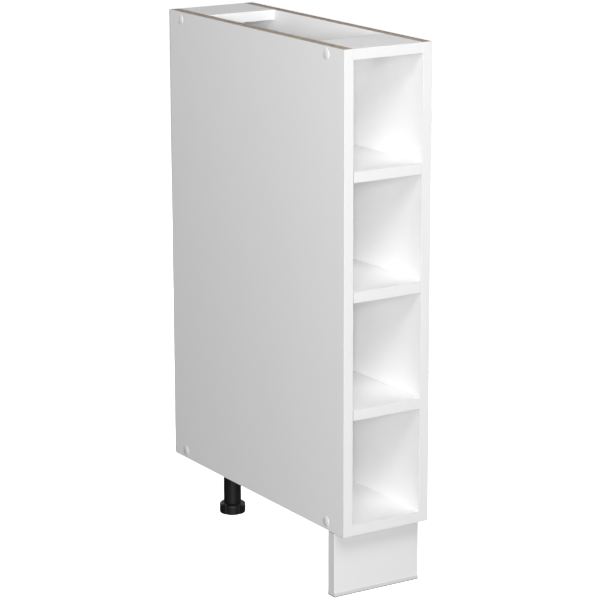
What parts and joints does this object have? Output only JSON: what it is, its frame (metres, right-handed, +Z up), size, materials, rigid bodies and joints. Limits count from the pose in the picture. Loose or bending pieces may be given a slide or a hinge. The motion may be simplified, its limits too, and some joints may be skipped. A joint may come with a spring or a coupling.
{
  "type": "narrow base cabinet",
  "caption": "Narrow white open base cabinet with loose shelves, top rails, a clip-on plinth board and black screw-adjusted feet, for standing bottles or jars under a worktop.",
  "frame": {"origin": "on the floor, under the middle of the cabinet's outer box", "axes": "+X across the width to the right, -Y towards the open front, +Z up"},
  "size_m": [0.1526, 0.5, 0.82],
  "materials": {
    "white_board": "white melamine faces on chipboard, with raw brown chipboard where an edge has no edging",
    "white_edging": "satin white edging strip",
    "back_board": "thin fibreboard, painted white inside and brown outside",
    "zinc_steel": "zinc-plated steel",
    "nickel_steel": "nickel-plated steel",
    "white_plastic": "moulded white plastic",
    "beech": "plain turned beech",
    "black_plastic": "moulded black plastic",
    "seal_plastic": "soft pale grey plastic strip"
  },
  "bodies": {
    "carcass": {"left_side_panel": "white_board", "right_side_panel": "white_board", "bottom_panel": "white_board", "front_top_rail": "white_board", "rear_top_rail": "white_board", "back_panel": "back_board", "left_side_edging": "white_edging", "right_side_edging": "white_edging", "bottom_edging": "white_edging", "front_rail_edging": "white_edging", "rear_rail_edging": "white_edging", "carcass_screws": "zinc_steel", "screw_caps": "white_plastic", "wooden_dowels": "beech", "shelf_pins": "nickel_steel", "back_nails": "zinc_steel", "leg_screws": "zinc_steel", "front_leg_socket": "black_plastic", "front_leg_column": "black_plastic", "rear_leg_socket": "black_plastic", "rear_leg_column": "black_plastic"},
    "plinth": {"plinth_board": "white_board", "plinth_end_edging": "white_edging", "plinth_seal": "seal_plastic", "plinth_clip_base": "black_plastic", "plinth_clip": "black_plastic", "clip_base_screws": "zinc_steel"},
    "lower_shelf_board": {"lower_shelf": "white_board", "lower_shelf_edging": "white_edging"},
    "middle_shelf_board": {"middle_shelf": "white_board", "middle_shelf_edging": "white_edging"},
    "upper_shelf_board": {"upper_shelf": "white_board", "upper_shelf_edging": "white_edging"},
    "front_stem": {"front_foot_stem": "black_plastic"},
    "front_wheel": {"front_foot_wheel": "black_plastic"},
    "rear_stem": {"rear_foot_stem": "black_plastic"},
    "rear_wheel": {"rear_foot_wheel": "black_plastic"}
  },
  "joints": [
    {"name": "lower_shelf_pull", "type": "slide", "parent": "carcass", "child": "lower_shelf_board", "axis": [0, -1, 0], "range_m": [0, 0.5]},
    {"name": "middle_shelf_pull", "type": "slide", "parent": "carcass", "child": "middle_shelf_board", "axis": [0, -1, 0], "range_m": [0, 0.5]},
    {"name": "upper_shelf_pull", "type": "slide", "parent": "carcass", "child": "upper_shelf_board", "axis": [0, -1, 0], "range_m": [0, 0.5]},
    {"name": "plinth_pull", "type": "slide", "parent": "carcass", "child": "plinth", "axis": [0, -1, 0], "range_m": [0, 0.1]},
    {"name": "front_foot_travel", "type": "slide", "parent": "carcass", "child": "front_stem", "axis": [0, 0, -1], "range_m": [0, 0.02]},
    {"name": "front_foot_turn", "type": "hinge", "parent": "front_stem", "child": "front_wheel", "pos_m": [0, -0.175, 0], "axis": [0, 0, -1], "range_deg": [0, 1800]},
    {"name": "rear_foot_travel", "type": "slide", "parent": "carcass", "child": "rear_stem", "axis": [0, 0, -1], "range_m": [0, 0.02]},
    {"name": "rear_foot_turn", "type": "hinge", "parent": "rear_stem", "child": "rear_wheel", "pos_m": [0, 0.196, 0], "axis": [0, 0, -1], "range_deg": [0, 1800]}
  ],
  "couplings": [
    {"joint": "front_foot_travel", "follows": "front_foot_turn", "m_per_rad": 0.0006366},
    {"joint": "rear_foot_travel", "follows": "rear_foot_turn", "m_per_rad": 0.0006366}
  ]
}
